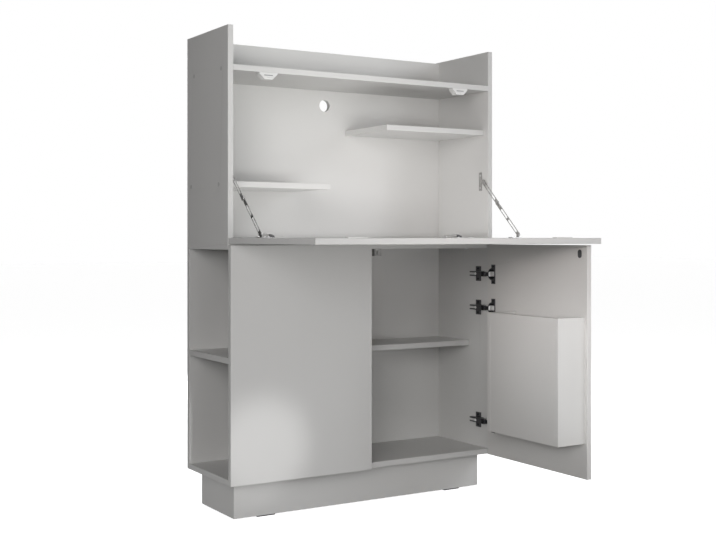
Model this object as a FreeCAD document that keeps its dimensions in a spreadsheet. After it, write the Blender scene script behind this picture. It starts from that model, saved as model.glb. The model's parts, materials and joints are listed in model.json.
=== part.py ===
import FreeCAD, Part
import Sketcher
import math
import os
import re

# Fold-down wall desk: a base cabinet on a plinth (open side niche, fixed front
# panel, hinged door with a storage box) under a hutch that a fold-down writing
# flap closes.  Millimetres, +Z up, X across the width, -Y towards the user.
# All coordinates below are given from the carcass front plane (Y = 0) and the
# floor (Z = 0); y_off moves the whole model so that the origin is the centre
# of the footprint of the opened desk on the floor.

V = FreeCAD.Vector
doc = FreeCAD.newDocument("fold_down_wall_desk")

PARAMS = [
    # alias, value, meaning
    ("half_w", 450.0, "half of the overall width"),
    ("depth_all", 278.0, "carcass depth"),
    ("board", 16.0, "board thickness"),
    ("y_off", 102.5, "shift of the carcass front plane behind the origin"),
    ("edge_rad", 0.8, "edge band rounding of the carcass boards"),
    ("leaf_rad", 1.5, "edge band rounding of the flap and the door"),
    ("glide_thk", 3.0, "floor glide thickness"),
    ("glide_len", 56.0, "floor glide length"),
    ("glide_x", 318.0, "floor glide distance from the middle"),
    ("plinth_hw", 417.5, "half width of the plinth"),
    ("plinth_yf", 32.0, "plinth front setback"),
    ("plinth_yb", 248.0, "plinth rear plane"),
    ("base_zb", 104.0, "underside of the base cabinet"),
    ("base_zt", 757.0, "top of the base cabinet"),
    ("hutch_zt", 1350.0, "top of the hutch sides"),
    ("hback_zt", 1346.0, "top of the hutch back"),
    ("top_shelf_z", 1228.0, "underside of the hutch top shelf"),
    ("lshelf_z", 912.0, "underside of the small left shelf"),
    ("lshelf_xr", -117.0, "right end of the small left shelf"),
    ("rshelf_z", 1092.0, "underside of the small right shelf"),
    ("rshelf_xl", 75.0, "left end of the small right shelf"),
    ("small_yf", 23.0, "front setback of the small shelves"),
    ("mid_z", 433.0, "underside of the niche and cupboard shelves"),
    ("cup_shelf_y", 96.0, "front setback of the cupboard shelf"),
    ("div_xr", -3.0, "right face of the divider"),
    ("leaf_gap", 2.6, "gap behind the closed door and the fixed panel"),
    ("leaf_zt", 753.0, "top of the door and the fixed panel"),
    ("cable_z", 1182.0, "height of the cable hole"),
    ("cable_rad", 18.5, "radius of the cable hole"),
    ("flap_gap", 3.0, "gap between hutch and flap"),
    ("flap_len", 480.0, "depth of the open flap"),
    ("door_wid", 445.0, "door width"),
    ("door_xi", 427.5, "inner face of the door opened square"),
    ("door_ye", -5.6, "hinge edge of the door opened square"),
    ("box_out", 96.5, "how far the door box stands off the door"),
    ("box_yfree", -440.0, "free end of the door box"),
    ("box_yhinge", -128.0, "hinge end of the door box"),
    ("box_zb", 202.0, "underside of the door box"),
    ("box_zt", 553.0, "top of the door box"),
    ("cup_rad", 17.5, "hinge cup bore radius"),
    ("cup_edge", 21.2, "cup centre to board edge"),
    ("cup_deep", 13.0, "cup bore depth"),
    ("dowel_rad", 4.0, "dowel radius"),
    ("dowel_in", 11.0, "dowel depth in a board face"),
    ("dowel_out", 19.0, "dowel depth in a board end"),
    ("pin_rad", 2.5, "shelf pin radius"),
    ("pilot_rad", 1.7, "small screw core radius"),
    ("pilot_len", 11.0, "small screw depth in the board"),
    ("conf_rad", 3.5, "shelf screw shank radius"),
    ("conf_thr", 2.6, "shelf screw thread radius"),
    ("conf_head", 5.0, "shelf screw head radius"),
    ("cap_rad", 6.0, "cover cap radius"),
    ("cap_thk", 1.0, "cover cap thickness"),
    ("cam_rad", 7.5, "cam lock radius"),
    ("cam_deep", 12.5, "cam lock height"),
    ("cam_dist", 34.0, "cam centre to joint"),
    ("catch_x", 327.0, "flap catch distance from the middle"),
    ("fhinge_x", 320.0, "flap hinge distance from the middle"),
    ("stay_uy", 20.5, "upper stay pivot, depth"),
    ("stay_uz", 947.2, "upper stay pivot, height"),
    ("stay_ly", -153.8, "lower stay pivot, depth"),
    ("stay_lz", 782.8, "lower stay pivot, height"),
    ("stay_wid", 14.0, "stay arm width"),
    ("stay_thk", 1.6, "stay arm thickness"),
]
sheet = doc.addObject("Spreadsheet::Sheet", "dims")
P = {}
for row, (alias, value, note) in enumerate(PARAMS, 1):
    sheet.set("A%d" % row, alias)
    sheet.set("B%d" % row, repr(value))
    sheet.setAlias("B%d" % row, alias)
    sheet.set("C%d" % row, note)
    P[alias] = value
doc.recompute()

WORD = re.compile(r"\b[a-z][a-z_]*\b")


def ex(text):
    """Expression over the sheet's aliases."""
    return WORD.sub(lambda m: "<<dims>>." + m.group(0)
                    if m.group(0) in P else m.group(0), str(text))


def bind(obj, prop, text):
    obj.setExpression(prop, ex(text))


def place(obj, x, y, z):
    bind(obj, "Placement.Base.x", x)
    bind(obj, "Placement.Base.y", "y_off + (%s)" % y)
    bind(obj, "Placement.Base.z", z)


PARTS = []


def keep(obj, label):
    obj.Label = label
    PARTS.append(obj)
    return obj


# ---------------------------------------------------------------- boards
def origin_plane(body, role):
    return [f for f in body.Origin.OriginFeatures if f.Role == role][0]


def attach(body, sketch, role, offset):
    """Offset is the coordinate of the sketch plane along its global axis."""
    sketch.AttachmentSupport = [(origin_plane(body, role), "")]
    sketch.MapMode = "FlatFace"
    sign = "-" if role == "XZ_Plane" else ""
    bind(sketch, "AttachmentOffset.Base.z", "%s(%s)" % (sign, offset))


class Board:
    """Rectangular board: padded sketch, rounded edge band, bored holes."""

    def __init__(self, name, x0, x1, y0, y1, z0, z1, rad="edge_rad"):
        self.name = name
        self.low = (x0, y0, z0)
        self.count = 0
        body = doc.addObject("PartDesign::Body", name)
        self.body = keep(body, name)
        sk = body.newObject("Sketcher::SketchObject", name + "_outline")
        attach(body, sk, "XY_Plane", "0")
        pts = [V(0, 0, 0), V(50, 0, 0), V(50, 50, 0), V(0, 50, 0)]
        for i in range(4):
            sk.addGeometry(Part.LineSegment(pts[i], pts[(i + 1) % 4]), False)
        C = Sketcher.Constraint
        for i in range(4):
            sk.addConstraint(C("Coincident", i, 2, (i + 1) % 4, 1))
        sk.addConstraint(C("Horizontal", 0))
        sk.addConstraint(C("Vertical", 1))
        sk.addConstraint(C("Horizontal", 2))
        sk.addConstraint(C("Vertical", 3))
        sk.addConstraint(C("Coincident", 0, 1, -1, 1))
        a = sk.addConstraint(C("DistanceX", 0, 1, 0, 2, 50.0))
        b = sk.addConstraint(C("DistanceY", 1, 1, 1, 2, 50.0))
        sk.renameConstraint(a, "across")
        sk.renameConstraint(b, "along")
        bind(sk, "Constraints.across", "(%s) - (%s)" % (x1, x0))
        bind(sk, "Constraints.along", "(%s) - (%s)" % (y1, y0))
        pad = body.newObject("PartDesign::Pad", name + "_pad")
        pad.Profile = sk
        bind(pad, "Length", "(%s) - (%s)" % (z1, z0))
        place(body, x0, y0, z0)
        doc.recompute()
        self.last = pad
        if rad:
            fil = body.newObject("PartDesign::Fillet", name + "_band")
            fil.Base = (pad, ["Edge%d" % (i + 1)
                              for i in range(len(pad.Shape.Edges))])
            bind(fil, "Radius", rad)
            doc.recompute()
            self.last = fil

    def bore(self, axis, at, pts, rad, deep, into):
        """Round holes along an axis, from the plane `at`, towards `into`."""
        self.count += 1
        i = "xyz".index(axis)
        role = {"x": "YZ_Plane", "y": "XZ_Plane", "z": "XY_Plane"}[axis]
        nm = "%s_bore%d" % (self.name, self.count)
        sk = self.body.newObject("Sketcher::SketchObject", nm + "_sketch")
        attach(self.body, sk, role, "(%s) - (%s)" % (at, self.low[i]))
        u, v = [k for k in range(3) if k != i]
        C = Sketcher.Constraint
        for k, (pu, pv) in enumerate(pts):
            g = sk.addGeometry(Part.Circle(V(20 + 25 * k, 20, 0),
                                           V(0, 0, 1), 4), False)
            cu = sk.addConstraint(C("DistanceX", -1, 1, g, 3, 20.0 + 25 * k))
            cv = sk.addConstraint(C("DistanceY", -1, 1, g, 3, 20.0))
            cr = sk.addConstraint(C("Radius", g, 4.0))
            sk.renameConstraint(cu, "u%d_" % k)
            sk.renameConstraint(cv, "v%d_" % k)
            sk.renameConstraint(cr, "rad%d_" % k)
            bind(sk, "Constraints.u%d_" % k, "(%s) - (%s)" % (pu, self.low[u]))
            bind(sk, "Constraints.v%d_" % k, "(%s) - (%s)" % (pv, self.low[v]))
            bind(sk, "Constraints.rad%d_" % k, rad)
        before = self.last.Shape.Volume
        pk = self.body.newObject("PartDesign::Pocket", nm)
        pk.Profile = sk
        pk.Type = 0
        bind(pk, "Length", deep)
        cuts_down = (axis == "y" and into > 0) or (axis != "y" and into < 0)
        pk.Reversed = not cuts_down
        doc.recompute()
        gone = before - pk.Shape.Volume
        if gone < 1.0:
            raise RuntimeError("%s removed %.3f mm3" % (nm, gone))
        self.last = pk
        return self


# ---------------------------------------------------------------- hardware
UID = [0]


def uid(stem):
    UID[0] += 1
    return "%s_%03d" % (stem, UID[0])


def box(x0, x1, y0, y1, z0, z1, stem="block"):
    o = doc.addObject("Part::Box", uid(stem))
    bind(o, "Length", "(%s) - (%s)" % (x1, x0))
    bind(o, "Width", "(%s) - (%s)" % (y1, y0))
    bind(o, "Height", "(%s) - (%s)" % (z1, z0))
    place(o, x0, y0, z0)
    return o


DIRS = {"x": V(1, 0, 0), "y": V(0, 1, 0), "z": V(0, 0, 1)}


def rod(axis, a0, a1, u, v, rad, stem="rod"):
    """Cylinder along an axis from a0 to a1 at (u, v) in the other two."""
    o = doc.addObject("Part::Cylinder", uid(stem))
    bind(o, "Radius", rad)
    bind(o, "Height", "(%s) - (%s)" % (a1, a0))
    o.Placement = FreeCAD.Placement(
        V(0, 0, 0), FreeCAD.Rotation(V(0, 0, 1), DIRS[axis]))
    if axis == "x":
        place(o, a0, u, v)
    elif axis == "y":
        place(o, u, a0, v)
    else:
        place(o, u, v, a0)
    return o


def fuse(items, stem="join"):
    if len(items) == 1:
        return items[0]
    o = doc.addObject("Part::MultiFuse", uid(stem))
    o.Shapes = items
    o.Refine = True
    return o


def cut(base, tools, stem="shaped"):
    o = doc.addObject("Part::Cut", uid(stem))
    o.Base = base
    o.Tool = fuse(tools) if isinstance(tools, list) else tools
    o.Refine = True
    return o


def group(label, items):
    o = doc.addObject("Part::Compound", label)
    o.Links = items
    return keep(o, label)


def single(label, obj):
    return keep(obj, label)


def mirrored(label, src):
    o = doc.addObject("Part::Mirroring", label)
    o.Source = src
    o.Base = V(0, 0, 0)
    o.Normal = V(1, 0, 0)
    return keep(o, label)


# ------------------------------------------------------- carcass boards
HW = "half_w"
BACK = "depth_all - board"
INNER = "half_w - board"
B = {}


def board(name, *a, **k):
    B[name] = Board(name, *a, **k)
    return B[name]


board("plinth_front", "-plinth_hw", "plinth_hw", "plinth_yf",
      "plinth_yf + board", "glide_thk", "base_zb")
board("plinth_back", "-plinth_hw", "plinth_hw", "plinth_yb - board",
      "plinth_yb", "glide_thk", "base_zb")
board("plinth_left", "-plinth_hw", "board - plinth_hw", "plinth_yf + board",
      "plinth_yb - board", "glide_thk", "base_zb")
board("plinth_right", "plinth_hw - board", "plinth_hw", "plinth_yf + board",
      "plinth_yb - board", "glide_thk", "base_zb")
board("base_bottom", "-half_w", INNER, "0", "depth_all", "base_zb",
      "base_zb + board")
board("base_side_right", INNER, HW, "0", "depth_all", "base_zb",
      "base_zt - board")
board("base_top", "-half_w", HW, "0", "depth_all", "base_zt - board",
      "base_zt")
board("base_divider", "div_xr - board", "div_xr", "-leaf_gap", BACK,
      "base_zb + board", "base_zt - board")
board("base_back", "-half_w", INNER, BACK, "depth_all", "base_zb + board",
      "base_zt - board")
board("niche_shelf", "-half_w", "div_xr - board", "-leaf_gap", BACK, "mid_z",
      "mid_z + board")
board("cupboard_shelf", "div_xr + 1", "half_w - board - 1", "cup_shelf_y",
      BACK, "mid_z", "mid_z + board")
board("front_panel_left", "-half_w", "div_xr", "-leaf_gap - board",
      "-leaf_gap", "base_zb", "leaf_zt")
board("hutch_side_left", "-half_w", "board - half_w", "0", "depth_all",
      "base_zt", "hutch_zt")
board("hutch_side_right", INNER, HW, "0", "depth_all", "base_zt", "hutch_zt")
board("hutch_bottom", "board - half_w", INNER, "0", "depth_all", "base_zt",
      "base_zt + board")
board("hutch_top_shelf", "board - half_w", INNER, "0", BACK, "top_shelf_z",
      "top_shelf_z + board")
board("hutch_back", "board - half_w", INNER, BACK, "depth_all",
      "base_zt + board", "hback_zt")
board("hutch_shelf_left", "board - half_w", "lshelf_xr", "small_yf", BACK,
      "lshelf_z", "lshelf_z + board")
board("hutch_shelf_right", "rshelf_xl", INNER, "small_yf", BACK,
      "rshelf_z", "rshelf_z + board")
B["hutch_back"].bore("y", BACK, [("0", "cable_z")], "cable_rad", "board", 1)

# ------------------------------------------------------- moving leaves
board("flap_panel", "-half_w", HW, "-flap_gap - flap_len", "-flap_gap",
      "base_zt", "base_zt + board", rad="leaf_rad")
board("door_panel", "door_xi", "door_xi + board", "door_ye - door_wid",
      "door_ye", "base_zb", "leaf_zt", rad="leaf_rad")

# storage box on the door's inner side: a face, two ends and a bottom
BX0 = "door_xi - box_out"
board("door_box_end_free", BX0, "door_xi", "box_yfree", "box_yfree + board",
      "box_zb", "box_zt")
board("door_box_end_hinge", BX0, "door_xi", "box_yhinge - board",
      "box_yhinge", "box_zb", "box_zt")
board("door_box_face", BX0, BX0 + " + board", "box_yfree + board",
      "box_yhinge - board", "box_zb", "box_zt")
board("door_box_bottom", BX0 + " + board", "door_xi", "box_yfree + board",
      "box_yhinge - board", "box_zb", "box_zb + board")

# ------------------------------------------------------- plinth hardware
group("floor_glides", [
    box("%s*glide_x - glide_len/2" % s, "%s*glide_x + glide_len/2" % s,
        y, y + " + board", "0", "glide_thk", "glide")
    for s in ("-1", "1") for y in ("plinth_yf", "plinth_yb - board")])
blocks = []
for s in (-1, 1):
    for y0 in ("plinth_yf + board", "plinth_yb - board - 28"):
        x0 = "board - plinth_hw" if s < 0 else "plinth_hw - board - 28"
        blocks.append(box(x0, "(%s) + 28" % x0, y0, "(%s) + 28" % y0,
                          "base_zb - 70", "base_zb", "corner_block"))
group("plinth_corner_blocks", blocks)

# ------------------------------------------------------- dowels
dowels = []


def dowel(axis, face_board, end_board, joint, toward_face, pts):
    """Dowels across the plane `joint`; the face board lies on the side
    given by toward_face (+1 or -1) along the axis."""
    if toward_face > 0:
        lo = "(%s) - dowel_out" % joint
        hi = "(%s) + dowel_in" % joint
    else:
        lo = "(%s) - dowel_in" % joint
        hi = "(%s) + dowel_out" % joint
    B[face_board].bore(axis, joint, pts, "dowel_rad", "dowel_in", toward_face)
    B[end_board].bore(axis, joint, pts, "dowel_rad", "dowel_out",
                      -toward_face)
    for u, v in pts:
        dowels.append(rod(axis, lo, hi, u, v, "dowel_rad", "dowel"))


YD = ("60", "218")
dowel("x", "base_side_right", "base_bottom", INNER, 1,
      [(y, "base_zb + board/2") for y in YD])
dowel("z", "base_top", "base_side_right", "base_zt - board", 1,
      [("half_w - board/2", y) for y in YD])
dowel("z", "base_top", "base_divider", "base_zt - board", 1,
      [("div_xr - board/2", y) for y in ("60", "200")])
dowel("z", "base_bottom", "base_divider", "base_zb + board", -1,
      [("div_xr - board/2", y) for y in ("60", "200")])
dowel("x", "base_divider", "niche_shelf", "div_xr - board", 1,
      [(y, "mid_z + board/2") for y in ("60", "200")])
dowel("z", "base_bottom", "base_back", "base_zb + board", -1,
      [(x, "depth_all - board/2") for x in ("-300", "200")])
dowel("z", "base_top", "base_back", "base_zt - board", 1,
      [(x, "depth_all - board/2") for x in ("-300", "200")])
dowel("x", "hutch_side_right", "hutch_bottom", INNER, 1,
      [(y, "base_zt + board/2") for y in YD])
dowel("x", "hutch_side_left", "hutch_bottom", "board - half_w", -1,
      [(y, "base_zt + board/2") for y in YD])
dowel("z", "hutch_bottom", "hutch_back", "base_zt + board", -1,
      [(x, "depth_all - board/2") for x in ("-300", "300")])
dowel("y", "front_panel_left", "base_divider", "-leaf_gap", -1,
      [("div_xr - board/2", z) for z in ("200", "650")])
dowel("y", "front_panel_left", "niche_shelf", "-leaf_gap", -1,
      [(x, "mid_z + board/2") for x in ("-360", "-140")])
group("dowels", dowels)
# the box on the door is dowelled too; those dowels travel with the door
box_dowels = []
carcass_dowels, dowels = dowels, box_dowels
for end, joint, way in (("door_box_end_free", "box_yfree + board", -1),
                        ("door_box_end_hinge", "box_yhinge - board", 1)):
    dowel("y", end, "door_box_face", joint, way,
          [(BX0 + " + board/2", z) for z in ("260", "500")])
    dowel("y", end, "door_box_bottom", joint, way,
          [(x, "box_zb + board/2") for x in ("366", "410")])
group("door_box_dowels", box_dowels)

# ------------------------------------------------------- cam fittings
cams, bolts = [], []
for end_board, face_board, joint, way, ys, zmid in (
        ("base_bottom", "base_side_right", INNER, 1, ("100", "178"),
         "base_zb + board/2"),
        ("hutch_bottom", "hutch_side_right", INNER, 1, ("100", "178"),
         "base_zt + board/2"),
        ("hutch_bottom", "hutch_side_left", "board - half_w", -1,
         ("100", "178"), "base_zt + board/2")):
    cx = "(%s) - %d*cam_dist" % (joint, way)
    zb = "(%s) - board/2" % zmid
    B[end_board].bore("z", zb, [(cx, y) for y in ys], "cam_rad", "cam_deep",
                      1)
    B[end_board].bore("x", joint, [(y, zmid) for y in ys], "3.5",
                      "cam_dist - cam_rad + 0.5", -way)
    B[face_board].bore("x", joint, [(y, zmid) for y in ys], "2.5", "11", way)
    for y in ys:
        disc = rod("z", zb, "(%s) + cam_deep" % zb, cx, y, "cam_rad", "cam")
        slot = rod("x", "(%s) - 5" % cx, "(%s) + cam_rad + 1" % cx
                   if way > 0 else "(%s) + 5" % cx, y, zmid, "3.6")
        if way < 0:
            slot = rod("x", "(%s) - cam_rad - 1" % cx, "(%s) + 5" % cx, y,
                       zmid, "3.6")
        cams.append(cut(disc, slot, "cam_disc"))
        if way > 0:
            shank = rod("x", "(%s) + 2" % cx, joint, y, zmid, "2.5")
            thread = rod("x", joint, "(%s) + 11" % joint, y, zmid, "2.5")
            head = rod("x", "(%s) - 3" % cx, "(%s) + 2" % cx, y, zmid, "3.3")
        else:
            shank = rod("x", joint, "(%s) - 2" % cx, y, zmid, "2.5")
            thread = rod("x", "(%s) - 11" % joint, joint, y, zmid, "2.5")
            head = rod("x", "(%s) - 2" % cx, "(%s) + 3" % cx, y, zmid, "3.3")
        bolts.append(fuse([shank, thread, head], "cam_bolt"))
group("cam_locks", cams)
group("cam_bolts", bolts)

# ------------------------------------------------------- shelf screws, caps
screws, caps = [], []
for side, shelf, way, ys, zmid in (
        ("hutch_side_left", "hutch_top_shelf", 1, ("44", "229"),
         "top_shelf_z + board/2"),
        ("hutch_side_right", "hutch_top_shelf", -1, ("44", "229"),
         "top_shelf_z + board/2"),
        ("hutch_side_left", "hutch_shelf_left", 1, ("60", "250"),
         "lshelf_z + board/2"),
        ("hutch_side_right", "hutch_shelf_right", -1, ("60", "250"),
         "rshelf_z + board/2")):
    outer = "-half_w" if way > 0 else "half_w"
    joint = "(%s) + %d*board" % (outer, way)
    pts = [(y, zmid) for y in ys]
    B[side].bore("x", outer, pts, "cap_rad", "cap_thk", way)
    B[side].bore("x", outer, pts, "conf_head", "4", way)
    B[side].bore("x", outer, pts, "conf_rad", "board", way)
    B[shelf].bore("x", joint, pts, "conf_thr", "32", way)
    for y in ys:
        steps = [("cap_thk", "4", "conf_head"), ("4", "board", "conf_rad"),
                 ("board", "board + 32", "conf_thr")]
        rods = []
        for s0, s1, r in steps:
            if way > 0:
                a0, a1 = "%s + %s" % (outer, s0), "%s + %s" % (outer, s1)
            else:
                a0, a1 = ("%s - (%s)" % (outer, s1),
                          "%s - (%s)" % (outer, s0))
            rods.append(rod("x", a0, a1, y, zmid, r))
        screws.append(fuse(rods, "shelf_screw"))
        if way > 0:
            caps.append(rod("x", outer, outer + " + cap_thk", y, zmid,
                            "cap_rad", "cap"))
        else:
            caps.append(rod("x", outer + " - cap_thk", outer, y, zmid,
                            "cap_rad", "cap"))
group("shelf_screws", screws)
group("screw_caps", caps)

# screws that join the hutch to the base cabinet
ST = [("-380", "40"), ("380", "40"), ("-380", "238"), ("380", "238")]
B["base_top"].bore("z", "base_zt - board", ST, "3", "board", 1)
B["hutch_bottom"].bore("z", "base_zt", ST, "3", "10", 1)
group("stack_screws", [
    fuse([rod("z", "base_zt - board", "base_zt + 10", x, y, "3"),
          rod("z", "base_zt - board - 2.5", "base_zt - board", x, y, "5.5")],
         "stack_screw") for x, y in ST])

# ------------------------------------------------------- shelf pins
pins = []
for bd, face, way in (("base_divider", "div_xr", -1),
                      ("base_side_right", INNER, 1)):
    pts = [(y, "mid_z - pin_rad") for y in ("125", "232")]
    B[bd].bore("x", face, pts, "pin_rad", "8", way)
    for y, z in pts:
        a0 = "(%s) - 8" % face
        a1 = "(%s) + 8" % face
        pins.append(rod("x", a0, a1, y, z, "pin_rad", "pin"))
group("shelf_pins", pins)

# ------------------------------------------------------- small screws
carcass_screws, flap_screws, door_screws = [], [], []


def screw(out, axis, way, at, u, v, head_rad="3.2", head_thk="1.4",
          through="0"):
    """Pan-head screw.  `at` is the plane under its head, `way` points out
    of the board, `through` is the fitting's thickness under the head."""
    a = "(%s) %s (%s)" % (at, "+" if way > 0 else "-", head_thk)
    b = "(%s) %s ((%s) + pilot_len)" % (at, "-" if way > 0 else "+", through)
    lo, hi = (at, a) if way > 0 else (a, at)
    head = rod(axis, lo, hi, u, v, head_rad)
    lo, hi = (b, at) if way > 0 else (at, b)
    out.append(fuse([head, rod(axis, lo, hi, u, v, "pilot_rad")], "screw"))


# ------------------------------------------------------- concealed hinges
# Local hinge axes: l forwards from the carcass front plane, n up from the
# mounting face, w across.  Door hinges sit on the right side's inner face
# (n = -X, w = Z); flap hinges sit on the hutch bottom (n = Z, w = X).
def hbox(kind, c, l0, l1, n0, n1, w0, w1):
    if kind == "door":
        return box("half_w - board - (%s)" % n1, "half_w - board - (%s)" % n0,
                   "-(%s)" % l1, "-(%s)" % l0, "(%s) + (%s)" % (c, w0),
                   "(%s) + (%s)" % (c, w1), "hinge_part")
    return box("(%s) + (%s)" % (c, w0), "(%s) + (%s)" % (c, w1),
               "-(%s)" % l1, "-(%s)" % l0, "base_zt + board + (%s)" % n0,
               "base_zt + board + (%s)" % n1, "hinge_part")


def hrod_n(kind, c, l, w, n0, n1, rad):
    """Cylinder along n."""
    if kind == "door":
        return rod("x", "half_w - board - (%s)" % n1,
                   "half_w - board - (%s)" % n0, "-(%s)" % l,
                   "(%s) + (%s)" % (c, w), rad, "hinge_part")
    return rod("z", "base_zt + board + (%s)" % n0,
               "base_zt + board + (%s)" % n1, "(%s) + (%s)" % (c, w),
               "-(%s)" % l, rad, "hinge_part")


def hrod_w(kind, c, l, n, w0, w1, rad):
    """Cylinder along w."""
    if kind == "door":
        return rod("z", "(%s) + (%s)" % (c, w0), "(%s) + (%s)" % (c, w1),
                   "half_w - board - (%s)" % n, "-(%s)" % l, rad,
                   "hinge_part")
    return rod("x", "(%s) + (%s)" % (c, w0), "(%s) + (%s)" % (c, w1),
               "-(%s)" % l, "base_zt + board + (%s)" % n, rad, "hinge_part")


# link path (l, n) of each kind at the open pose, first and last are pivots
LINK = {
    "door": [(-2.0, 11.0), (10.8, 11.0), (14.0, 9.8), (16.2, 7.4),
             (16.4, 4.2), (15.6, 3.2)],
    "flap": [(-3.0, 6.0), (6.6, 6.0), (9.4, 3.7), (11.2, 0.8),
             (11.4, -1.2)],
}
FACE_N = {"door": 6.5, "flap": 0.0}     # inner face of the open leaf
EDGE_L = {"door": 5.6, "flap": 3.0}     # hinge edge of the open leaf
BACK_L = {"door": -73.0, "flap": -64.0}
PLATE_L = {"door": -46.5, "flap": -40.0}
TOP_N = {"door": 16.0, "flap": 13.0}
EAR = 8.5                               # cup screws beyond the cup centre


def hinge_plate(kind, c):
    l0 = PLATE_L[kind]
    bar = hbox(kind, c, l0 - 12, -18, 0, 3, -8.6, 8.6)
    wing = hbox(kind, c, l0 - 12, l0 + 12, 0, 3, -23, 23)
    holes = [hrod_n(kind, c, l0, w, -1, 4, "pilot_rad") for w in (-16, 16)]
    return cut(fuse([bar, wing], "plate"), holes, "hinge_plate")


def hinge_arm(kind, c):
    """Channel over the plate: its web ends in a fork that the fixing screw
    clamps, and its nose carries the link pin."""
    lp, np_ = LINK[kind][0]
    top = TOP_N[kind]
    back = BACK_L[kind]
    shell = hbox(kind, c, back, lp - 3, 3, top, -7.5, 7.5)
    cheek = hbox(kind, c, lp - 3, lp, np_ - 3.6, np_ + 3.6, -7.5, 7.5)
    nose = hrod_w(kind, c, lp, np_, -7.5, 7.5, 3.6)
    hollow = hbox(kind, c, back - 1, lp + 5, 2, top - 1.4, -6.4, 6.4)
    slot = hbox(kind, c, back - 1, back + 26.5, top - 3, top + 1, -3.5, 3.5)
    end = hrod_n(kind, c, back + 26.5, 0, top - 3, top + 1, 3.5)
    body = cut(fuse([shell, cheek, nose], "arm"), [hollow, slot, end],
               "arm_channel")
    pin = hrod_w(kind, c, lp, np_, -7.5, 7.5, 1.5)
    s1 = hrod_n(kind, c, back + 30, 0, top - 0.4, top + 0.9, 4.2)
    s2 = hrod_n(kind, c, PLATE_L[kind] + 18, 0, top - 0.4, top + 0.9, 3.4)
    return fuse([body, pin, s1, s2], "hinge_arm")


def hinge_cup(kind, c):
    """Cup with a flange whose two ears lie beyond the cup's middle."""
    n0, e = FACE_N[kind], EDGE_L[kind] + P["cup_edge"]
    ears = hbox(kind, c, e - 0.8, e + 17.6, n0, n0 + 1.2, -29.7, 29.7)
    rim = hrod_n(kind, c, e, 0, n0, n0 + 1.2, 18.3)
    bowl = hrod_n(kind, c, e, 0, n0 - 12.6, n0, "cup_rad - 0.1")
    well = hrod_n(kind, c, e, 0, n0 - 11.6, n0 + 2, "cup_rad - 1.1")
    holes = [hrod_n(kind, c, e + EAR, w, n0 - 1, n0 + 2, "pilot_rad")
             for w in (-24, 24)]
    return cut(fuse([ears, rim, bowl], "cup"), [well] + holes, "hinge_cup")


def hinge_link(kind, c):
    """Bent strap from the arm pivot round the cup rim into the cup."""
    pts = LINK[kind]
    w = 5.9
    shapes = []
    for (l0, n0), (l1, n1) in zip(pts[:-1], pts[1:]):
        ln = math.hypot(l1 - l0, n1 - n0)
        seg = Part.makeBox(ln, 2.0, 2 * w, V(0, -1.0, -w))
        ang = math.degrees(math.atan2(n1 - n0, l1 - l0))
        seg.Placement = FreeCAD.Placement(
            V(l0, n0, 0), FreeCAD.Rotation(V(0, 0, 1), ang))
        shapes.append(seg)
    for k, (l, n) in enumerate(pts):
        r = 2.6 if k == 0 else 1.0
        shapes.append(Part.makeCylinder(r, 2 * w, V(l, n, -w), V(0, 0, 1)))
    shp = shapes[0].multiFuse(shapes[1:]).removeSplitter()
    shp = shp.cut(Part.makeCylinder(1.55, 2 * w + 2,
                                    V(pts[0][0], pts[0][1], -w - 1),
                                    V(0, 0, 1)))
    o = doc.addObject("Part::Feature", uid("hinge_link"))
    o.Shape = shp.Solids[0]
    face = P["half_w"] - P["board"]
    if kind == "door":
        m = FreeCAD.Matrix(0, -1, 0, face, -1, 0, 0, P["y_off"],
                           0, 0, -1, c, 0, 0, 0, 1)
    else:
        m = FreeCAD.Matrix(0, 0, -1, c, -1, 0, 0, P["y_off"],
                           0, 1, 0, P["base_zt"] + P["board"], 0, 0, 0, 1)
    o.Placement = FreeCAD.Placement(m)
    return o


HINGES = {"door": [204.0, 556.0, 661.0],
          "flap": [-P["fhinge_x"], P["fhinge_x"]]}
for kind in ("door", "flap"):
    mount_board = "base_side_right" if kind == "door" else "hutch_bottom"
    leaf = "door_panel" if kind == "door" else "flap_panel"
    face = INNER if kind == "door" else "base_zt + board"
    cs = HINGES[kind]
    group(kind + "_hinge_plates", [hinge_plate(kind, c) for c in cs])
    group(kind + "_hinge_arms", [hinge_arm(kind, c) for c in cs])
    group(kind + "_hinge_links", [hinge_link(kind, c) for c in cs])
    group(kind + "_hinge_cups", [hinge_cup(kind, c) for c in cs])
    lp = PLATE_L[kind]
    e = EDGE_L[kind] + P["cup_edge"]
    es = e + EAR
    if kind == "door":
        B[mount_board].bore("x", face, [(-lp, c + w) for c in cs
                                        for w in (-16, 16)],
                            "pilot_rad", "pilot_len", 1)
        B[leaf].bore("x", "door_xi", [(-e, c) for c in cs], "cup_rad",
                     "cup_deep", 1)
        B[leaf].bore("x", "door_xi", [(-es, c + w) for c in cs
                                      for w in (-24, 24)],
                     "pilot_rad", "pilot_len", 1)
        for c in cs:
            for w in (-16, 16):
                screw(carcass_screws, "x", -1, face + " - 3", -lp, c + w,
                      through="3")
            for w in (-24, 24):
                screw(door_screws, "x", -1, "door_xi - 1.2", -es, c + w,
                      through="1.2")
    else:
        B[mount_board].bore("z", face, [(c + w, -lp) for c in cs
                                        for w in (-16, 16)],
                            "pilot_rad", "pilot_len", -1)
        B[leaf].bore("z", face, [(c, -e) for c in cs], "cup_rad",
                     "cup_deep", -1)
        B[leaf].bore("z", face, [(c + w, -es) for c in cs
                                 for w in (-24, 24)],
                     "pilot_rad", "pilot_len", -1)
        for c in cs:
            for w in (-16, 16):
                screw(carcass_screws, "z", 1, face + " + 3", c + w, -lp,
                      through="3")
            for w in (-24, 24):
                screw(flap_screws, "z", 1, face + " + 1.2", c + w, -es,
                      through="1.2")

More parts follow.
